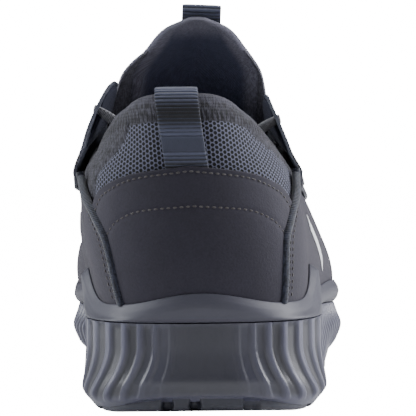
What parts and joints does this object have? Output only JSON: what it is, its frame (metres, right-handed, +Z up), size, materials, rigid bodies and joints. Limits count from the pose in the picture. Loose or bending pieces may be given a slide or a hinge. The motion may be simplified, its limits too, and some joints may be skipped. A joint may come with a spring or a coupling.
{
  "type": "shoe",
  "caption": "Low safety sneaker for the right foot: knit bootie upper with padded collar, side panels, toe cap, standing eyestay wings, padded tongue, pull loops and a thick fluted foam sole.",
  "frame": {"origin": "on the floor under the middle of the heel, on the shoe's long axis", "axes": "+Y runs from the heel to the toe, +X to the outer side of the right foot, +Z up, and the shoe stands on its sole"},
  "size_m": [0.1127, 0.3046, 0.1449],
  "materials": {
    "outsole_rubber": "dark grey moulded rubber, matt",
    "midsole_foam": "cool grey moulded foam, fluted, slight sheen",
    "cradle_foam": "cool grey moulded foam, smooth",
    "upper_knit": "dark heathered knit and open mesh",
    "tongue_knit": "dark padded knit lining",
    "suede": "dark grey nubuck, matt with a short nap",
    "eyestay_coated": "blue grey smooth coated synthetic",
    "footbed": "black fabric over foam",
    "webbing": "dark navy ribbed webbing",
    "lace_cord": "grey heathered braided cord"
  },
  "bodies": {
    "root": {"outsole": "outsole_rubber", "midsole": "midsole_foam", "cradle": "cradle_foam", "insole": "footbed", "upper": "upper_knit", "tongue": "tongue_knit", "heel_counter": "suede", "quarter_lateral": "suede", "quarter_medial": "suede", "toe_cap": "suede", "eyestay_lateral": "eyestay_coated", "eyestay_medial": "eyestay_coated", "heel_loop": "webbing", "tongue_loop": "webbing", "lace_1": "lace_cord", "lace_2": "lace_cord", "lace_3": "lace_cord", "lace_4": "lace_cord", "lace_5": "lace_cord"}
  },
  "joints": []
}
